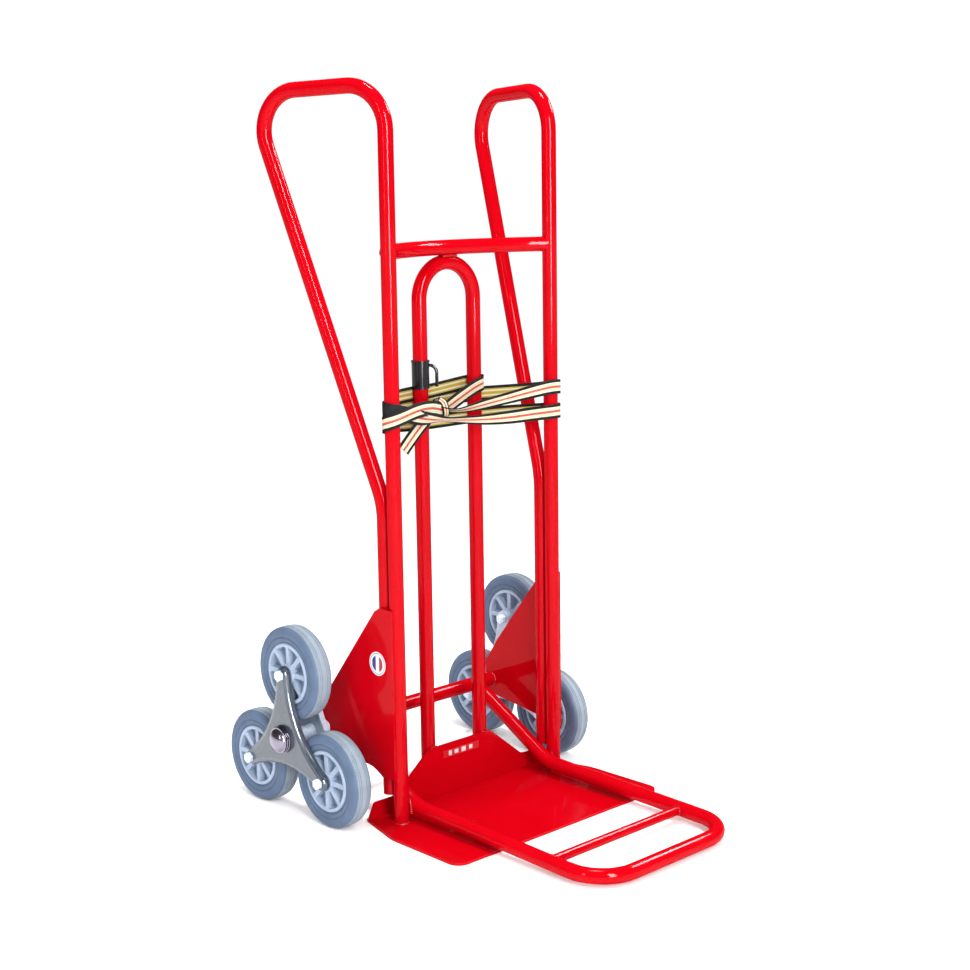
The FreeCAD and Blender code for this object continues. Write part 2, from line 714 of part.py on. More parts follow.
def strap_clip():
    """The plastic collar on the arch's left leg with its round hook for the strap."""
    leg = Vector(-size("arch_side"), size("upright_back") + size("arch_back"), size("clip_foot"))
    outer = size("clip_size") / 2
    inner = size("tube_size") / 2
    length = size("clip_length")
    collar = Part.makeCylinder(outer, length, leg, Z_AXIS)
    lip = Part.makeCylinder(outer + 0.9, 3, leg + Z_AXIS * (length - 3), Z_AXIS)
    outward = Vector(1, -1, 0).normalize()
    top = leg + Z_AXIS * (length - 8)
    path = rounded_wire([
        top + outward * (inner + 1),
        top + outward * 27,
        top + outward * 27 - Z_AXIS * 36,
    ], [13])
    hook = swept(path, 5.6)
    shape = collar.fuse([lip, hook]).cut(Part.makeCylinder(inner, length, leg, Z_AXIS))
    return feature("strap_clip", shape.removeSplitter())


def labels():
    """The round label on the left gusset and the strip on the toe plate's upturned edge."""
    outer = size("upright_side") + size("tube_size") / 2 + size("gusset_sheet")
    back = size("upright_back")
    place = along_x(-outer - size("label_sheet"), back + 32.4, 274.5)
    keep(rod("round_label", "@label_size", "@label_sheet", place), "round_label")
    strip = document.addObject("Part::Box", "plate_label")
    bind(strip, Width="@label_sheet")
    strip.Length = 84
    strip.Height = 13
    fold = back + size("arch_back") - size("tube_size") / 2 - size("plate_sheet")
    strip.Placement = turned(-42, fold - size("label_sheet"), 69)
    keep(strip, "plate_label")


side_frame("left_side_frame", -1)
side_frame("right_side_frame", 1)
upper_cross_tube()
inner_arch_tube()
toe_plate()
toe_frame_tube()
toe_cross_bar()
axle_gusset("left_axle_gusset", -1)
axle_gusset("right_axle_gusset", 1)
axle()
star("left", -1)
star("right", 1)
strap()
strap_clip()
labels()
document.recompute()

for item in document.Objects:
    if "Invalid" in item.State or "Error" in item.State:
        raise RuntimeError(f"{item.Label} failed: {item.State}")
for item in sub_parts:
    if item.Shape.isNull() or not item.Shape.isValid():
        raise RuntimeError(f"{item.Label} has no valid shape")
    if not item.Shape.Solids:
        raise RuntimeError(f"{item.Label} has no solid")

os.makedirs("parts", exist_ok=True)
for item in sub_parts:
    item.Shape.exportStep(f"parts/{item.Label}.step")
    box = item.Shape.BoundBox
    print(f"{item.Label:28s} solids {len(item.Shape.Solids)}  volume {item.Shape.Volume:11.1f}  "
          f"x {box.XMin:7.1f} {box.XMax:7.1f}  y {box.YMin:7.1f} {box.YMax:7.1f}  z {box.ZMin:7.1f} {box.ZMax:7.1f}")
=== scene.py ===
"""Looks of a stair-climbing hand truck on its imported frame.

Materials, webbing, welds, wheels, stars and labels.
"""

import math

import bmesh
import bpy
from mathutils import Matrix, Vector


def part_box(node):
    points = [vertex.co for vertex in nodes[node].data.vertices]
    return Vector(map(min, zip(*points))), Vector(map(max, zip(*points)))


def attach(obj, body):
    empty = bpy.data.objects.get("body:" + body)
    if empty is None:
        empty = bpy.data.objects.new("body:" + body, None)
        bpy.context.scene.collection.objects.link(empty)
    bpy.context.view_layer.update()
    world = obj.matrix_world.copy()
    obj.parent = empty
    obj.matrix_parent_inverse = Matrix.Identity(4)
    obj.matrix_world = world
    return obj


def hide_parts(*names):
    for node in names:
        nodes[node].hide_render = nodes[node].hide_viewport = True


MM = 0.001
UP = Vector((0, 0, 1))
SIDEWAYS = Vector((1, 0, 0))
# The frame's driving sizes in metres: tube radius, axle height, and how far each pair stands from the middle.
TUBE_RADIUS = 0.0125
AXLE_HEIGHT = 0.135
UPRIGHT_X = 0.181
BRACE_X = 0.1559
ARCH_LEG_X = 61 * MM
# How far the arch's front side lies behind the uprights' axes.
ARCH_SETBACK = 53.1 * MM

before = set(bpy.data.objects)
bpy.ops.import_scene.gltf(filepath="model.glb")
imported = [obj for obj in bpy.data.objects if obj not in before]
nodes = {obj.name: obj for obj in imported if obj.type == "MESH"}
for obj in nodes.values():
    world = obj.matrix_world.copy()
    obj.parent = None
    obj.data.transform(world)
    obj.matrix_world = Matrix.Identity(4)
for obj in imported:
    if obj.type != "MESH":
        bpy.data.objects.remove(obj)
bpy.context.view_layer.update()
# The place of the uprights' axes along Y, and the middle of the axle.
UPRIGHT_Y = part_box("inner_arch_tube")[0].y - ARCH_SETBACK
AXLE = Vector((0, (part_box("axle_rod")[0].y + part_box("axle_rod")[1].y) / 2, AXLE_HEIGHT))


# ---------------------------------------------------------------- camera, floor and light

def place_camera():
    """A standing person's view from the front left corner."""
    azimuth, elevation, roll = (math.radians(angle) for angle in (-43.49, 10.21, -0.83))
    aim = Vector((20.99, 0, 547.5)) * MM + Vector((0, UPRIGHT_Y, 0))
    distance = 2.9234
    back = Vector((math.sin(azimuth) * math.cos(elevation), -math.cos(azimuth) * math.cos(elevation),
                   math.sin(elevation)))
    level = Vector((math.cos(azimuth), math.sin(azimuth), 0))
    up = back.cross(level)
    right = level * math.cos(roll) + up * math.sin(roll)
    top = up * math.cos(roll) - level * math.sin(roll)
    place = aim + back * distance
    data = bpy.data.cameras.new("camera")
    data.sensor_width = 36
    data.lens = 64.30
    camera = bpy.data.objects.new("camera", data)
    bpy.context.scene.collection.objects.link(camera)
    camera.matrix_world = Matrix.Translation(place) @ Matrix((right, top, back)).transposed().to_4x4()
    bpy.context.scene.camera = camera


def area_light(name, place, target, width, height, watts, lights=True, shines=True):
    """A rectangular light that faces its target; it can be left out of the lighting or the reflections."""
    data = bpy.data.lights.new(name, "AREA")
    data.shape = "RECTANGLE"
    data.size = width
    data.size_y = height
    data.energy = watts
    light = bpy.data.objects.new(name, data)
    bpy.context.scene.collection.objects.link(light)
    light.location = place
    light.rotation_euler = (Vector(target) - Vector(place)).to_track_quat("-Z", "Y").to_euler()
    light.visible_diffuse = lights
    light.visible_glossy = shines


def studio():
    """A white surround and five area lights: key makes no highlights, glint and sheen make only those."""
    surround, reflected_surround = 1.04, 0.10
    world = bpy.data.worlds.new("studio")
    world.use_nodes = True
    tree = world.node_tree
    rays = tree.nodes.new("ShaderNodeLightPath")
    dimmer = tree.nodes.new("ShaderNodeMapRange")
    dimmer.inputs["To Min"].default_value = surround
    dimmer.inputs["To Max"].default_value = reflected_surround
    tree.links.new(rays.outputs["Is Glossy Ray"], dimmer.inputs["Value"])
    tree.links.new(dimmer.outputs["Result"], tree.nodes["Background"].inputs["Strength"])
    tree.nodes["Background"].inputs["Color"].default_value = (1, 1, 1, 1)
    bpy.context.scene.world = world
    bpy.context.scene.view_settings.view_transform = "Standard"
    area_light("key", (-1.40, -3.10, 1.9), (0, 0, 0.6), 0.95, 2.4, 138, shines=False)
    area_light("glint", (-1.00, -3.15, 1.7), (0, 0, 0.6), 0.75, 2.6, 480, lights=False)
    area_light("sheen", (2.2, -0.45, 2.4), (0, -0.35, 0.1), 1.1, 0.5, 130, lights=False)
    area_light("fill", (-3.3, -0.7, 1.7), (0, 0, 0.5), 0.3, 2.0, 26)
    area_light("top", (0.2, 0.1, 3.2), (0, 0, 0.4), 0.6, 0.6, 85)


# ---------------------------------------------------------------- node helpers

class Shader:
    """A principled material whose detail comes from a few procedural nodes."""

    def __init__(self, name, **sockets):
        self.material = bpy.data.materials.new(name)
        self.material.use_nodes = True
        self.tree = self.material.node_tree
        self.principled = self.tree.nodes["Principled BSDF"]
        for label, value in sockets.items():
            self.principled.inputs[label.replace("_", " ")].default_value = value
        self.place = self.node("TexCoord").outputs["Object"]

    def node(self, kind, **values):
        """A node with its sockets set or linked by name."""
        made = self.tree.nodes.new(f"ShaderNode{kind}")
        for label, value in values.items():
            self.feed(made.inputs[label.replace("_", " ")], value)
        return made

    def feed(self, socket, value):
        """Links an output to a socket, or sets the socket's own value."""
        if isinstance(value, bpy.types.NodeSocket):
            self.tree.links.new(value, socket)
        else:
            socket.default_value = value

    def noise(self, scale, detail=2.0):
        """Fine random variation, from 0 to 1."""
        made = self.node("TexNoise", Vector=self.place, Scale=scale, Detail=detail)
        return made.outputs["Fac"]

    def spread(self, value, low, high):
        """Maps 0.25 to 0.75 onto low to high."""
        made = self.node("MapRange", Value=value)
        for label, number in (("From Min", 0.25), ("From Max", 0.75), ("To Min", low), ("To Max", high)):
            made.inputs[label].default_value = number
        return made.outputs["Result"]

    def math(self, operation, first, second=0.0):
        """One arithmetic step."""
        made = self.tree.nodes.new("ShaderNodeMath")
        made.operation = operation
        self.feed(made.inputs[0], first)
        self.feed(made.inputs[1], second)
        return made.outputs[0]

    def blend(self, factor, first, second):
        """A colour between two colours."""
        made = self.tree.nodes.new("ShaderNodeMix")
        made.data_type = "RGBA"
        self.feed(made.inputs["Factor"], factor)
        self.feed(made.inputs["A"], first)
        self.feed(made.inputs["B"], second)
        return made.outputs["Result"]

    def colour(self, value):
        self.feed(self.principled.inputs["Base Color"], value)

    def roughness(self, value):
        self.feed(self.principled.inputs["Roughness"], value)

    def bump(self, height, strength, distance):
        """A bumped surface."""
        made = self.node("Bump", Height=height, Strength=strength, Distance=distance)
        previous = self.principled.inputs["Normal"].links
        if previous:
            self.feed(made.inputs["Normal"], previous[0].from_socket)
        self.feed(self.principled.inputs["Normal"], made.outputs["Normal"])


def speckled(name, dark, light, scale, rough, bump, **sockets):
    """Two close colours in a fine mottle, uneven gloss and a fine grain."""
    shader = Shader(name, **sockets)
    shader.colour(shader.blend(shader.spread(shader.noise(scale), 0, 1), (*dark, 1), (*light, 1)))
    shader.roughness(shader.spread(shader.noise(scale * 0.4, 4), rough[0], rough[1]))
    shader.bump(shader.noise(bump[0], 3), bump[1], bump[2])
    return shader


def red_paint(name, rough):
    """Glossy baked paint with a faint orange peel."""
    return speckled(name, (0.36, 0.0003, 0.003), (0.40, 0.0006, 0.005), 14, rough, (420, 0.05, 0.0005),
                    Coat_Weight=0.16, Coat_Roughness=0.08, Specular_IOR_Level=0.0).material


def zinc(name, dark, light, rough, scale, metal, coat):
    """Plated steel with the faint crystal pattern of zinc."""
    shader = Shader(name, Metallic=metal, Coat_Weight=coat, Coat_Roughness=0.08)
    cells = shader.node("TexVoronoi", Vector=shader.place, Scale=scale).outputs["Color"]
    grey = shader.node("RGBToBW", Color=cells).outputs["Val"]
    shader.colour(shader.blend(shader.spread(grey, 0, 1), (*dark, 1), (*light, 1)))
    shader.roughness(shader.spread(shader.noise(60, 4), rough[0], rough[1]))
    shader.bump(shader.noise(900, 3), 0.08, 0.0004)
    return shader.material


def chrome():
    """Polished plating with tiny pits; its dark violet cast is a painted reflection of dark surroundings."""
    return speckled("cap_chrome", (0.24, 0.22, 0.28), (0.30, 0.27, 0.34), 40, (0.20, 0.28),
                    (1500, 0.05, 0.0002), Metallic=1.0).material


def rubber(name, dark, light, rough):
    """Grey moulded rubber, faintly mottled."""
    return speckled(name, dark, light, 45, rough, (1100, 0.25, 0.0005), Specular_IOR_Level=0.12).material


def moulded(name, dark, light, rough, grain, shine):
    """Injection-moulded plastic with a fine sparkle texture."""
    return speckled(name, dark, light, 30, rough, (grain, 0.12, 0.0004), Specular_IOR_Level=shine).material


def weld_metal():
    """Painted-over weld: the frame's red, rougher and darker in its ripples."""
    return speckled("weld_bead", (0.24, 0.0006, 0.002), (0.38, 0.001, 0.005), 500, (0.2, 0.4),
                    (900, 0.4, 0.0006), Coat_Weight=0.3, Coat_Roughness=0.1,
                    Specular_IOR_Level=0.1).material


def webbing(name, face):
    """Woven band in lengthwise stripes: u runs across the band from 0 to 1 and v along it in metres."""
    # Counts per metre of band, except the yarns, which are counted across its width.
    stitches, ribs_per_metre, yarn_count = 230, 900, 22
    stitch_lean = 6
    red_half_width, red_share = (0.085, 0.88) if face else (0.03, 0.4)
    red = (0.40, 0.004, 0.008, 1) if face else (0.34, 0.12, 0.02, 1)
    black_stretch_middle, black_stretch_half_length = 1.45, 0.045
    shader = Shader(name, Roughness=0.85, Specular_IOR_Level=0.1)
    uv = shader.node("SeparateXYZ", Vector=shader.node("TexCoord").outputs["UV"])
    across, along = uv.outputs["X"], uv.outputs["Y"]
    stripes = shader.node("ValToRGB", Fac=across)
    ramp = stripes.color_ramp
    ramp.interpolation = "CONSTANT"
    black, cream, yellow = (0.004, 0.004, 0.006, 1), (0.66, 0.61, 0.47, 1), (0.42, 0.34, 0.06, 1)
    if face:
        bands = [(0, black), (0.20, cream), (0.31, yellow), (0.34, cream), (0.66, yellow), (0.69, cream),
                 (0.80, black)]
    else:
        bands = [(0, black), (0.20, yellow), (0.30, cream), (0.39, yellow), (0.61, cream), (0.70, yellow),
                 (0.80, black)]
    while len(ramp.elements) < len(bands):
        ramp.elements.new(1)
    for element, (position, shade) in zip(ramp.elements, bands):
        element.position = position
        element.color = shade
    # Red threads float over the middle in short stitches.
    centre = shader.math("COMPARE", across, 0.5)
    centre.node.inputs[2].default_value = red_half_width
    count = shader.math("MULTIPLY", along, stitches)
    step = shader.math("FRACT", shader.math("ADD", count, shader.math("MULTIPLY", across, stitch_lean)))
    stitch = shader.math("MULTIPLY", centre, shader.math("LESS_THAN", step, red_share))
    striped = shader.blend(stitch, stripes.outputs["Color"], red)
    # The band is black along a short stretch of the outer front run where it passes the left upright.
    black_stretch = shader.math("COMPARE", along, black_stretch_middle)
    black_stretch.node.inputs[2].default_value = black_stretch_half_length
    striped = shader.blend(black_stretch, striped, (0.006, 0.006, 0.010, 1))
    # Weave: ribs across the band, crossed by fine lengthwise yarns.
    ribs = shader.math("SINE", shader.math("MULTIPLY", along, 2 * math.pi * ribs_per_metre))
    yarns = shader.math("SINE", shader.math("MULTIPLY", across, 2 * math.pi * yarn_count))
    weave = shader.math("MULTIPLY", ribs, yarns)
    wear = shader.math("ADD", shader.math("MULTIPLY", weave, 0.18), shader.noise(60, 3))
    fade = shader.spread(wear, 0.0, 0.12)
    shader.colour(shader.blend(fade, striped, (0.10, 0.09, 0.06, 1)))
    shader.bump(weave, 0.5, 0.0004)
    return shader.material


def ring_label():
    """A white disc with a grey ring and two plain coloured bars."""
    shader = Shader("label_film_round", Roughness=0.3, Coat_Weight=0.5, Coat_Roughness=0.1)
    low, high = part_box("round_label")
    middle = (low + high) / 2
    place = shader.node("SeparateXYZ", Vector=shader.place)
    y = shader.math("SUBTRACT", place.outputs["Y"], middle.y)
    z = shader.math("SUBTRACT", place.outputs["Z"], middle.z)
    squares = shader.math("ADD", shader.math("MULTIPLY", y, y), shader.math("MULTIPLY", z, z))
    far = shader.math("SQRT", squares)
    colour = (0.60, 0.64, 0.66, 1)

    def near(value, goal, width):
        made = shader.math("COMPARE", value, goal)
        made.node.inputs[2].default_value = width
        return made

    colour = shader.blend(near(far, 0.0176, 0.0008), colour, (0.16, 0.24, 0.32, 1))
    inside = shader.math("LESS_THAN", far, 0.0135)
    # The disc is on the left side, so its left-hand bar as read lies at the back.
    for offset, shade in ((0.0085, (0.008, 0.014, 0.16, 1)), (-0.0085, (0.30, 0.004, 0.02, 1))):
        colour = shader.blend(shader.math("MULTIPLY", near(y, offset, 0.0045), inside), colour, shade)
    shader.colour(shader.blend(shader.spread(shader.noise(300), 0, 0.06), colour, (0.5, 0.5, 0.5, 1)))
    shader.bump(shader.noise(500), 0.05, 0.0003)
    return shader.material


def strip_label():
    """A red strip with a row of plain pale blocks."""
    shader = Shader("label_film_strip", Roughness=0.35, Coat_Weight=0.3, Coat_Roughness=0.12)
    low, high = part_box("plate_label")
    middle = (low + high) / 2
    place = shader.node("SeparateXYZ", Vector=shader.place)
    x = shader.math("SUBTRACT", place.outputs["X"], middle.x)
    z = shader.math("SUBTRACT", place.outputs["Z"], middle.z)
    colour = (0.40, 0.001, 0.005, 1)
    blocks = [(-0.026, 0.0035, 0.0042), (-0.0115, 0.0045, 0.0034), (0.0055, 0.005, 0.0042),
              (0.0225, 0.004, 0.0036)]
    for offset, width, height in blocks:
        across = shader.math("LESS_THAN", shader.math("ABSOLUTE", shader.math("SUBTRACT", x, offset)), width)
        up = shader.math("LESS_THAN", shader.math("ABSOLUTE", z), height)
        colour = shader.blend(shader.math("MULTIPLY", across, up), colour, (0.58, 0.56, 0.56, 1))
    shader.colour(shader.blend(shader.spread(shader.noise(300), 0, 0.08), colour, (0.35, 0.02, 0.03, 1)))
    shader.bump(shader.noise(500), 0.05, 0.0003)
    return shader.material


def floor():
    """A plain pale floor."""
    shader = speckled("floor", (0.965, 0.965, 0.965), (0.985, 0.985, 0.985), 3, (0.7, 0.9), (40, 0.02, 0.001),
                      Specular_IOR_Level=0.0)
    mesh = bpy.data.meshes.new("floor")
    mesh.from_pydata([(-30, -30, 0), (30, -30, 0), (30, 30, 0), (-30, 30, 0)], [], [(0, 1, 2, 3)])
    mesh.materials.append(shader.material)
    plane = bpy.data.objects.new("floor", mesh)
    bpy.context.scene.collection.objects.link(plane)


# ---------------------------------------------------------------- mesh helpers

def piece(name, mesh, materials, body, replaced=(), sharp=35):
    """A finished mesh as a piece of one body, smooth except along edges sharper than the given angle."""
    for material in materials:
        mesh.materials.append(material)
    form = bmesh.new()
    form.from_mesh(mesh)
    bmesh.ops.recalc_face_normals(form, faces=form.faces)
    for face in form.faces:
        face.smooth = True
    for edge in form.edges:
        if len(edge.link_faces) == 2 and edge.calc_face_angle(0) > math.radians(sharp):
            edge.smooth = False
    form.to_mesh(mesh)
    form.free()
    made = bpy.data.objects.new(name, mesh)
    bpy.context.scene.collection.objects.link(made)
    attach(made, body)
    if replaced:
        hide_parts(*replaced)
    return made


def rows_to_mesh(name, rows, wrap_rows, wrap_points, marks=None):
    """Joins rows of points with quads; marks gives a material number for each step between points."""
    points = [point for row in rows for point in row]
    width = len(rows[0])
    faces = []
    numbers = []
    for first in range(len(rows) if wrap_rows else len(rows) - 1):
        second = (first + 1) % len(rows)
        for step in range(width if wrap_points else width - 1):
            after = (step + 1) % width
            faces.append((first * width + step, second * width + step,
                          second * width + after, first * width + after))
            numbers.append(marks[step] if marks else 0)
    mesh = bpy.data.meshes.new(name)
    mesh.from_pydata(points, [], faces)
    mesh.polygons.foreach_set("material_index", numbers)
    return mesh


def lathe(name, profile, centre, marks=None, segments=144):
    """A closed profile of (offset along X, radius) turned round an X axis through the centre."""
    rows = []
    for number in range(segments):
        angle = 2 * math.pi * number / segments
        rows.append([centre + Vector((x, radius * math.cos(angle), radius * math.sin(angle))) * MM
                     for x, radius in profile])
    return rows_to_mesh(name, rows, True, True, marks)


def bead(points, radius, closed):
    """A weld bead along a line: a thin tube with overlapping ripples."""
    spacing = 0.0009
    line = []
    ends = points + points[:1] if closed else points
    for start, end in zip(ends, ends[1:]):
        count = max(1, round((end - start).length / spacing))
        line += [start.lerp(end, number / count) for number in range(count)]
    if not closed:
        line.append(ends[-1])
    rows = []
    count = len(line)
    for number, point in enumerate(line):
        before = line[number - 1] if number or closed else point
        after = line[(number + 1) % count] if number < count - 1 or closed else point
        along = (after - before).normalized()
        side = along.cross(UP if abs(along.z) < 0.9 else SIDEWAYS).normalized()
        other = side.cross(along)
        swell = radius * (1 + 0.22 * abs(math.sin(math.pi * number / 4)))
        if not closed:
            swell *= min(1, 0.25 + 0.3 * min(number, count - 1 - number))
        rows.append([point + side * swell * math.cos(turn) + other * swell * math.sin(turn)
                     for turn in (2 * math.pi * step / 10 for step in range(10))])
    return rows


def circle(centre, axis, radius, count=60):
    """Points round a circle, in metres."""
    side = axis.orthogonal().normalized()
    other = axis.cross(side).normalized()
    return [centre + side * radius * math.cos(turn) + other * radius * math.sin(turn)
            for turn in (2 * math.pi * step / count for step in range(count))]


def saddle(start, toward, small, post, axis, big, count=72):
    """The line where a tube from start along toward meets the surface of a post."""
    toward = toward.normalized()
    points = []
    for ring in circle(start, toward, small, count):
        gap = ring - post
        across = toward - axis * toward.dot(axis)
        offset = gap - axis * gap.dot(axis)
        a = across.dot(across)
        b = 2 * across.dot(offset)
        c = offset.dot(offset) - big * big
        root = math.sqrt(max(0, b * b - 4 * a * c))
        points.append(ring + toward * (-b - root) / (2 * a))
    return points


# ---------------------------------------------------------------- materials of the CAD nodes

def dress(material, *names):
    """Puts a material on CAD nodes."""
    for name in names:
        item = nodes[name]
        if not item.material_slots:
            item.data.materials.append(material)
        for place in item.material_slots:
            place.material = material


def both(pattern):
    return [pattern.format(side) for side in ("left", "right")]


def dress_frame():
    """Paint, plating, plastic and labels on the nodes whose CAD shape is kept."""
    dress(red_paint("red_paint_tubes", (0.22, 0.34)), *both("{}_side_frame"), "upper_cross_tube",
          "inner_arch_tube", "toe_frame_tube", "toe_cross_bar", "axle_tube")
    dress(red_paint("red_paint_sheet", (0.14, 0.24)), "toe_plate", *both("{}_axle_gusset"))
    dress(zinc("bright_zinc", (0.50, 0.58, 0.72), (0.62, 0.70, 0.82), (0.20, 0.34), 300, 0.15, 0.5),
          "axle_rod", *both("{}_axle_collar"), *both("{}_retaining_ring"), *both("{}_star_hub_tube"),
          *both("{}_wheel_sleeves"), *both("{}_wheel_bolts"), *both("{}_wheel_nuts"))
    # A much lighter copy of the stars' zinc: painted light on the inner plates, which sit in shade behind the
    # stars.
    dress(zinc("inner_star_painted_light", (0.30, 0.36, 0.46), (0.38, 0.44, 0.54), (0.30, 0.45), 140, 0.2, 0.5),
          *both("{}_star_inner_plate"), *both("{}_star_outer_plate"))
    dress(moulded("black_plastic", (0.003, 0.003, 0.004), (0.007, 0.007, 0.010), (0.10, 0.18), 700, 0.3),
          "strap_clip")
    dress(ring_label(), "round_label")
    dress(strip_label(), "plate_label")


# ---------------------------------------------------------------- wheels

def wheel_hub(wheel, plastic, shaded_plastic):
    """A hub with a raised rim, a boss and eight broad ribs with pockets between them on both sides."""
    low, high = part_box(f"{wheel}_hub")
    centre = (low + high) / 2
    ribs = 8
    pitch = math.radians(360 / ribs)
    rib_edge, rib_top, boss = 5.2, 4.2, 19
    rib_height, pocket_height = 15.5, 5
    # Stations round one pitch: offsets across the rib, then shares of the pocket after it.
    stations = [(offset, 0) for offset in (-rib_edge, -rib_top, 0, rib_top, rib_edge)]
    stations += [(rib_edge, share / 5) for share in (1, 2, 3, 4)]
    rows = []
    for rib in range(ribs):
        for offset, share in stations:
            height = rib_height if abs(offset) <= rib_top else pocket_height
            half = [
                (19.3, 8.2), (19.3, 15.6), (18.6, 16.8), (height + 0.5, 17.6), (height, boss), (height, 30),
                (height, 43), (height + 0.8, 44.6), (17.6, 46), (18.3, 47), (18.3, 50.4), (17.4, 51.6),
                (16.6, 51.9),
            ]
            row = []
            for x, radius in half + [(-x, radius) for x, radius in reversed(half)]:
                reach = max(radius, boss)
                gap = pitch - 2 * math.asin(rib_edge / reach)
                turn = math.asin(offset / reach) + gap * share + pitch * rib
                row.append(centre + Vector((x, radius * math.cos(turn), radius * math.sin(turn))) * MM)
            rows.append(row)
    mesh = rows_to_mesh(f"{wheel}_hub_moulded", rows, True, True)
    # Faces deep in the pockets take the darker plastic: painted shade in the recesses.
    for face in mesh.polygons:
        reach = math.hypot(face.center.y - centre.y, face.center.z - centre.z)
        deep = abs(face.center.x - centre.x) < 8 * MM
        face.material_index = 1 if deep and 18 * MM < reach < 46 * MM else 0
    piece(f"{wheel}_hub_moulded", mesh, [plastic, shaded_plastic], f"{wheel}_wheel", [f"{wheel}_hub"])


def wheels():
    """Tyres with a stepped sidewall and three narrow grooves each side of the middle, and plastic hubs."""
    tread_radius, tread_half_width = 77.6, 14
    side_wall = rubber("tyre_side", (0.072, 0.104, 0.168), (0.090, 0.128, 0.200), (0.35, 0.5))
    tread = rubber("tyre_tread", (0.19, 0.235, 0.285), (0.24, 0.285, 0.335), (0.6, 0.8))
    hub = moulded("hub_plastic", (0.25, 0.31, 0.41), (0.31, 0.38, 0.49), (0.25, 0.4), 500, 0.2)
    # A darker copy of the hub plastic for the pocket floors: painted shade in the recesses.
    shaded_plastic = moulded("hub_painted_shade", (0.12, 0.17, 0.27), (0.15, 0.21, 0.32), (0.3, 0.5), 500, 0.2)
    half = [
        (-0.01, 80), (4.2, 79.9), (4.7, 78.5), (5.7, 78.5), (6.2, 79.8), (7.8, 79.7), (8.3, 78.3), (9.3, 78.3),
        (9.8, 79.5), (11.2, 79.2), (11.7, 77.8), (12.6, 77.7), (13.1, 78.9), (14.6, 78.1), (16.2, 76.9),
        (17.4, 75.3), (18.2, 73.4), (18.7, 71.2), (19.0, 68.6), (19.0, 65.2), (18.7, 64.0), (17.6, 63.2),
        (17.3, 62.4), (17.6, 61.6), (18.2, 60.8), (18.4, 59.4), (18.1, 57.4), (17.3, 55.4), (16.3, 54.0),
        (15.6, 53.2), (15.6, 52),
    ]
    profile = half + [(-x, radius) for x, radius in reversed(half)]
    marks = [1 if radius > tread_radius and abs(x) < tread_half_width else 0 for x, radius in profile]
    for side in ("left", "right"):
        for place in ("upper", "front", "rear"):
            name = f"{side}_{place}_tyre"
            low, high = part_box(name)
            piece(f"{name}_moulded", lathe(name, profile, (low + high) / 2, marks), [side_wall, tread],
                  f"{side}_{place}_wheel", [name])
            wheel_hub(f"{side}_{place}", hub, shaded_plastic)


# ---------------------------------------------------------------- stars

def star_outline(inset):
    """Points round a star in its own plane, in millimetres: three arm ends joined by hollow sides."""
    reach, end, waist = 110, 15, 47
    tip_steps, side_steps = 12, 48
    far = (reach ** 2 - (end - waist) ** 2) / (reach + 2 * (end - waist))
    hollow = far - waist + inset
    tip_radius = end - inset
    points = []
    for arm in range(3):
        heading = math.radians(90 + 120 * arm)
        tip = Vector((reach * math.cos(heading), reach * math.sin(heading)))
        after = heading + math.radians(60)
        centre = Vector((far * math.cos(after), far * math.sin(after)))
        swing = (math.atan2(*(centre - tip).yx) - heading + math.pi) % (2 * math.pi) - math.pi
        for step in range(2 * tip_steps + 1):
            turn = heading + swing * (step - tip_steps) / tip_steps
            points.append(tip + Vector((math.cos(turn), math.sin(turn))) * tip_radius)
        onward = heading + math.radians(120)
        next_tip = Vector((reach * math.cos(onward), reach * math.sin(onward)))
        begin = math.atan2(*(tip - centre).yx)
        finish = math.atan2(*(next_tip - centre).yx)
        swing = (finish - begin + math.pi) % (2 * math.pi) - math.pi
        for step in range(1, side_steps):
            turn = begin + swing * step / side_steps
            points.append(centre + Vector((math.cos(turn), math.sin(turn))) * hollow)
    return points


def star_plates():
    """The outer plates: folded edge, rounded fold and a pressed step that runs round inside it."""
    steel = zinc("star_plate", (0.032, 0.046, 0.066), (0.042, 0.056, 0.078), (0.26, 0.40), 160, 0.35, 1.0)
    sheet = 2.2 * MM
    # Each step is an inset from the outline and a height from the face, in millimetres.
    steps = [
        (0, -11), (0.1, -8), (0.3, -6.2), (1.2, -5.2), (2.2, -4.4), (2.6, -3.4), (2.8, -2.6), (3.3, -1.7),
        (4.2, -1.1), (5.2, -0.9), (6.6, -0.9), (7.1, -0.78), (7.7, -0.3), (8.3, -0.05), (8.9, 0), (10.4, 0),
    ]
    for side, sign in (("left", -1), ("right", 1)):
        low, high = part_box(f"{side}_star_outer_plate")
        axle_low, axle_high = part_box(f"{side}_axle_cap")
        centre = (axle_low + axle_high) / 2
        face = low.x if sign < 0 else high.x
        rows = []
        for inset, depth in steps:
            rows.append([Vector((face + sign * depth * MM, centre.y + x * MM, centre.z + y * MM))
                         for x, y in star_outline(inset)])
        mesh = rows_to_mesh(f"{side}_star", rows, False, True)
        form = bmesh.new()
        form.from_mesh(mesh)
        form.verts.ensure_lookup_table()
        inner = [form.verts[number] for number in range(len(form.verts) - len(rows[-1]), len(form.verts))]
        form.faces.new(inner)
        bmesh.ops.recalc_face_normals(form, faces=form.faces)
        out = Vector((sign, 0, 0))
        if max(form.faces, key=lambda item: item.calc_area()).normal.dot(out) < 0:
            bmesh.ops.reverse_faces(form, faces=form.faces)
        bmesh.ops.triangulate(form, faces=[item for item in form.faces if len(item.verts) > 4])
        bmesh.ops.solidify(form, geom=form.faces[:], thickness=sheet)
        form.to_mesh(mesh)
        form.free()
        piece(f"{side}_star_outer_pressed", mesh, [steel], f"{side}_star",
              [f"{side}_star_outer_plate"])


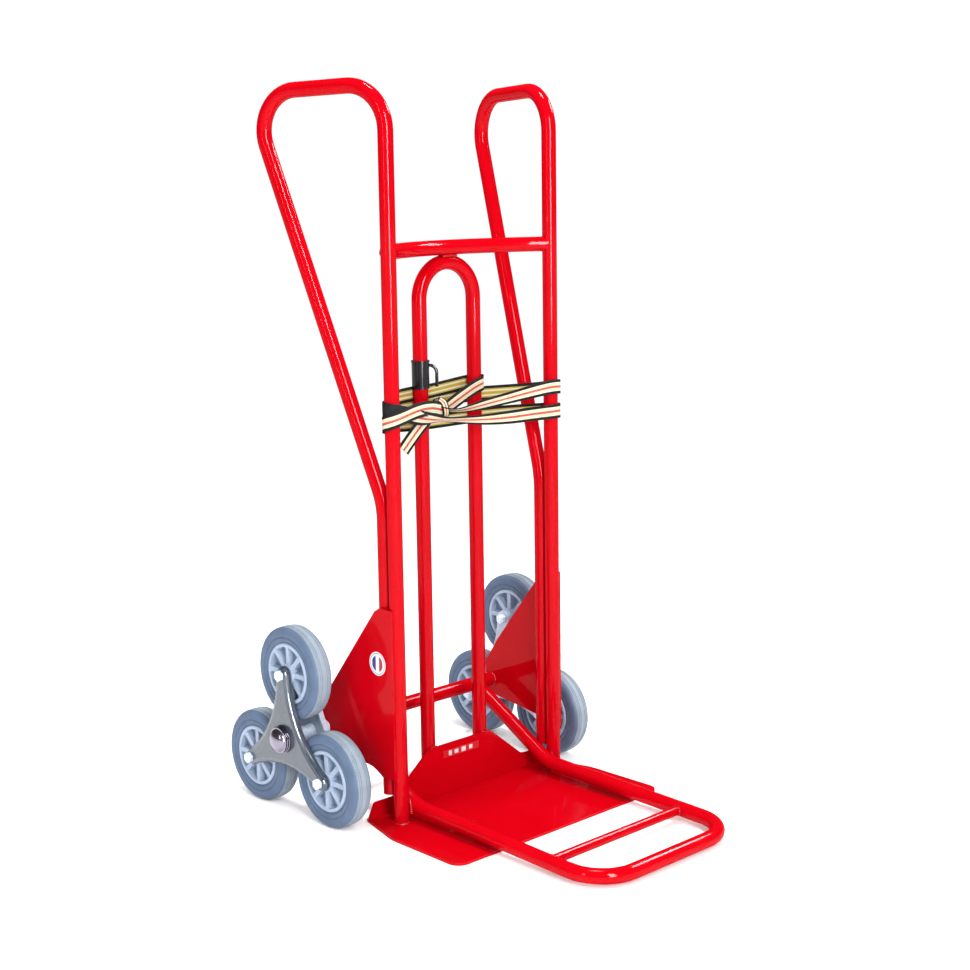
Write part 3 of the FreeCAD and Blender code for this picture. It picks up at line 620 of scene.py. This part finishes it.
def axle_caps():
    """Chromed domes on stepped rings over the ends of the axle."""
    plating = chrome()
    profile = [
        (19.5, 0.05), (19.3, 4), (18.5, 8), (17, 12), (14.8, 15.5), (12.2, 18), (10.4, 19), (9.6, 19.4),
        (9.4, 21.6), (8.9, 22.2), (7.6, 22.2), (7.1, 21.6), (6.9, 20.6), (6.5, 20.6), (6.3, 22.6), (5.8, 23.2),
        (4.5, 23.2), (4, 22.6), (3.8, 21.4), (3.4, 21.4), (3.2, 23.4), (2.7, 24), (0.5, 24), (0, 23.5),
        (0, 8.2), (7, 8.2), (7, 0.05),
    ]
    for side, sign in (("left", -1), ("right", 1)):
        low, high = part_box(f"{side}_axle_cap")
        root = Vector((high.x if sign < 0 else low.x, AXLE.y, AXLE.z))
        mesh = lathe(f"{side}_cap", [(sign * x, radius) for x, radius in profile], root)
        piece(f"{side}_axle_cap_turned", mesh, [plating], "frame", [f"{side}_axle_cap"],
              sharp=30)


# ---------------------------------------------------------------- welds

def welds():
    """Beads where the frame's tubes and sheets are joined."""
    rows = []
    closed = []
    radius = TUBE_RADIUS

    def add(points, size, ring):
        rows.append(bead(points, size, ring))
        closed.append(ring)

    cross_low, cross_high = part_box("upper_cross_tube")
    cross_z = (cross_low.z + cross_high.z) / 2
    for sign in (-1, 1):
        post = Vector((sign * UPRIGHT_X, UPRIGHT_Y, 0))
        slope = math.radians(35)
        toward = Vector((sign * math.cos(slope), -math.sin(slope), 0))
        start = post + UP * cross_z - toward * 0.045 + Vector((0, 0.0016, 0))
        add(saddle(start, toward, radius - 0.0006, post, UP, radius), 0.0012, True)
        add(circle(post + UP * 0.0052, UP, radius + 0.0006), 0.0022, True)
        # The brace into the axle tube, and the small bar into the toe frame's leg.
        axle = AXLE + Vector((sign * BRACE_X, 0, 0))
        foot = Vector((sign * BRACE_X, UPRIGHT_Y - 0.012, 0.0281))
        toward = (axle - foot).normalized()
        add(saddle(axle - toward * 0.05, toward, radius, axle, SIDEWAYS, radius), 0.0019, True)
        add(circle(AXLE + Vector((sign * 0.1935, 0, 0)), SIDEWAYS, radius + 0.0004), 0.0019, True)
        low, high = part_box("toe_cross_bar")
        bar = (low + high) / 2
        leg = Vector((sign * -0.0021, 0.4184, 0.0109)).normalized()
        add(saddle(bar + Vector((sign * 0.11, 0, 0)), Vector((sign, 0, 0)), 0.008,
                   Vector((sign * 0.1575, bar.y, bar.z)), leg, radius), 0.0014, True)
        # The toe frame's leg to the upright's foot, in the groove on its front side.
        add([Vector((sign * x, y, z)) * MM for x, y, z in
             ((168.5, 35.5, 17), (168.5, 36.5, 24), (168.6, 37.2, 31), (168.7, 38.5, 38), (168.7, 40, 44))],
            0.0026, False)
        # The arch leg to the plate's upturned edge.
        add([Vector((sign * x, 97.9, 93.2)) * MM for x in (53, 58, 64, 69)], 0.0018, False)
        for offset in (-8.5, 8.5):
            side = sign * ARCH_LEG_X + offset * MM
            add([Vector((side, 99.2 * MM, z * MM)) for z in (14, 40, 66, 90)], 0.0017, False)
    # The arch's top to the upper cross tube.
    for offset in (-5.5, 5.5):
        add([Vector((x, 107.3 + offset, 932.9 - x * x / 300 + offset * 0.2)) * MM
             for x in (-17, -9, 0, 9, 17)], 0.0022, False)
    points = []
    faces = []
    for ring_rows, ring in zip(rows, closed):
        base = len(points)
        width = len(ring_rows[0])
        points += [point for row in ring_rows for point in row]
        count = len(ring_rows)
        for first in range(count if ring else count - 1):
            second = (first + 1) % count
            for step in range(width):
                after = (step + 1) % width
                faces.append((base + first * width + step, base + second * width + step,
                              base + second * width + after, base + first * width + after))
        if not ring:
            faces.append(tuple(range(base, base + width)))
            faces.append(tuple(range(base + (count - 1) * width, base + count * width)))
    mesh = bpy.data.meshes.new("weld_beads")
    mesh.from_pydata(points, [], faces)
    piece("weld_beads", mesh, [weld_metal()], "frame", sharp=80)


# ---------------------------------------------------------------- webbing

# The band's middle line from its tucked end behind the left upright to its loose end. Each point is in
# whole millimetres from the truck's middle plane, from the uprights' axes and from the floor, with a twist
# in degrees where it has one. At its nearest the line passes 13 to 16 mm from the axis of each tube that it
# goes round; it runs nearly straight between tubes and is gathered at the knot.
ROUTE = [
    # Behind the arch to its right leg, round that, and down across the front to the knot.
    (-178, 17, 705), (-158, 30, 706), (-112, 60, 706), (-84, 73, 705), (-60, 80, 705), (-30, 80, 705),
    (15, 80, 709), (45, 80, 712), (76, 80, 714), (76, 51, 714), (48, 49, 708), (15, 44, 697), (-20, 39, 684),
    (-42, 31, 678),
    # From the knot to the left upright and round it.
    (-72, 16, 686), (-92, 9, 689), (-118, 1, 690), (-146, -8, 688), (-175, -17, 684), (-198, -17, 680),
    (-198, 8, 673), (-178, 20, 667),
    # Behind the arch to the right upright and round it.
    (-130, 50, 662), (-88, 73, 656), (-60, 80, 654), (-30, 80, 653), (30, 80, 653), (60, 80, 653),
    (88, 73, 654), (130, 50, 656), (178, 20, 657), (196, 8, 658), (196, -14, 658), (172, -15, 658),
    # The lower front run to the knot, and on to the left upright and round it.
    (130, -4, 657, 5), (90, 7, 655, 15), (35, 21, 655, 40), (-15, 31, 660, 65), (-55, 25, 665, 70),
    (-90, 13, 670, 35), (-136, -2, 680, 10), (-174, -14, 692), (-196, -14, 696), (-196, 8, 697),
    (-178, 20, 698),
    # Behind the arch again to the right upright and round it.
    (-130, 52, 695), (-88, 75, 692), (-60, 82, 690), (-10, 82, 689), (45, 82, 690), (60, 82, 690),
    (88, 74, 691), (130, 50, 692), (178, 20, 694), (196, 8, 697), (196, -14, 700), (172, -14, 701),
    # The upper front run to the knot, and the loose end.
    (150, -10, 699, 5), (94, 4, 690, 25), (38, 17, 682, 35), (8, 24, 677, 50), (-20, 29, 675, 70),
    (-42, 33, 681, 80), (-60, 36, 677, 30), (-70, 36, 671), (-98, 38, 648), (-124, 40, 620),
]


def smooth_line(points):
    """The route's own smooth spline, as a line of points."""
    data = bpy.data.curves.new("route", "CURVE")
    data.dimensions = "3D"
    spline = data.splines.new("NURBS")
    spline.points.add(len(points) - 1)
    for place, point in zip(spline.points, points):
        place.co = (*point, 1)
    spline.order_u = 3
    spline.use_endpoint_u = True
    spline.resolution_u = 12
    holder = bpy.data.objects.new("route", data)
    mesh = bpy.data.meshes.new_from_object(holder)
    line = [vertex.co.copy() for vertex in mesh.vertices]
    bpy.data.objects.remove(holder)
    bpy.data.meshes.remove(mesh)
    return line


def band(name, route, width, thickness, materials, lift):
    """A flat woven band along a route, its width turned from lift by each point's own twist in degrees."""
    line = smooth_line([Vector((x * MM, UPRIGHT_Y + y * MM, z * MM)) for x, y, z, *_ in route])
    twists = [math.radians(turn.x) for turn in
              smooth_line([Vector((point[3] if len(point) > 3 else 0, 0, 0)) for point in route])]
    across = [-0.5, -0.47, -0.38, -0.25, -0.12, 0, 0.12, 0.25, 0.38, 0.47, 0.5]
    rows = []
    lengths = [0.0]
    for before, after in zip(line, line[1:]):
        lengths.append(lengths[-1] + (after - before).length)
    count = len(line)
    for number, point in enumerate(line):
        along = (line[min(number + 1, count - 1)] - line[max(number - 1, 0)]).normalized()
        flat = (lift - along * lift.dot(along)).normalized()
        side = flat.cross(along)
        rise = flat * math.cos(twists[number]) + side * math.sin(twists[number])
        out = rise.cross(along)
        row = []
        for sign, places in ((1, across), (-1, across[::-1])):
            for place in places:
                # The selvedges are a little thinner than the middle, and the band has a slight hollow.
                half = thickness / 2 * (1 if abs(place) < 0.48 else 0.45)
                hollow = 0.0004 * math.sin(lengths[number] * 40) * (1 - 4 * place * place)
                row.append(point + rise * place * width + out * (sign * half + hollow))
        rows.append(row)
    marks = [0] * (len(across) - 1) + [1] + [1] * (len(across) - 1) + [1]
    mesh = rows_to_mesh(name, rows, False, True, marks)
    layer = mesh.uv_layers.new(name="weave")
    total = 2 * len(across)
    for polygon in mesh.polygons:
        for loop in polygon.loop_indices:
            vertex = mesh.loops[loop].vertex_index
            row, step = divmod(vertex, total)
            place = across[step] if step < len(across) else across[total - 1 - step]
            layer.data[loop].uv = (place + 0.5, lengths[row])
    form = bmesh.new()
    form.from_mesh(mesh)
    form.verts.ensure_lookup_table()
    for row in (0, count - 1):
        form.faces.new([form.verts[row * total + step] for step in range(total)])
    form.to_mesh(mesh)
    form.free()
    return piece(name, mesh, materials, "frame", sharp=50), line, lengths[-1]


def strap():
    """One long band wound round the uprights and the arch, and the knot that ties it."""
    face = webbing("webbing_face", True)
    reverse = webbing("webbing_reverse", False)
    made, line, length = band("strap_webbing", ROUTE, 0.025, 0.0016, [face, reverse], UP)
    print("strap length", round(length, 3))
    knot_route = [
        (-50, 31.5, 697), (-47, 26, 695), (-43, 24.5, 684), (-41, 25, 672), (-43, 29.5, 664),
        (-45, 43.5, 664), (-47, 48.5, 676), (-48, 47.5, 690), (-50, 38.5, 698.5),
    ]
    made_knot, _, _ = band("strap_knot_turn", knot_route, 0.015, 0.0018, [face, reverse],
                           Vector((-0.9, 0, -0.2)))
    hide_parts("strap_upper_turn", "strap_lower_turn", "strap_leg_turn", "strap_tail")
    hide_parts("strap_knot")


place_camera()
studio()
floor()
dress_frame()
wheels()
star_plates()
axle_caps()
welds()
strap()
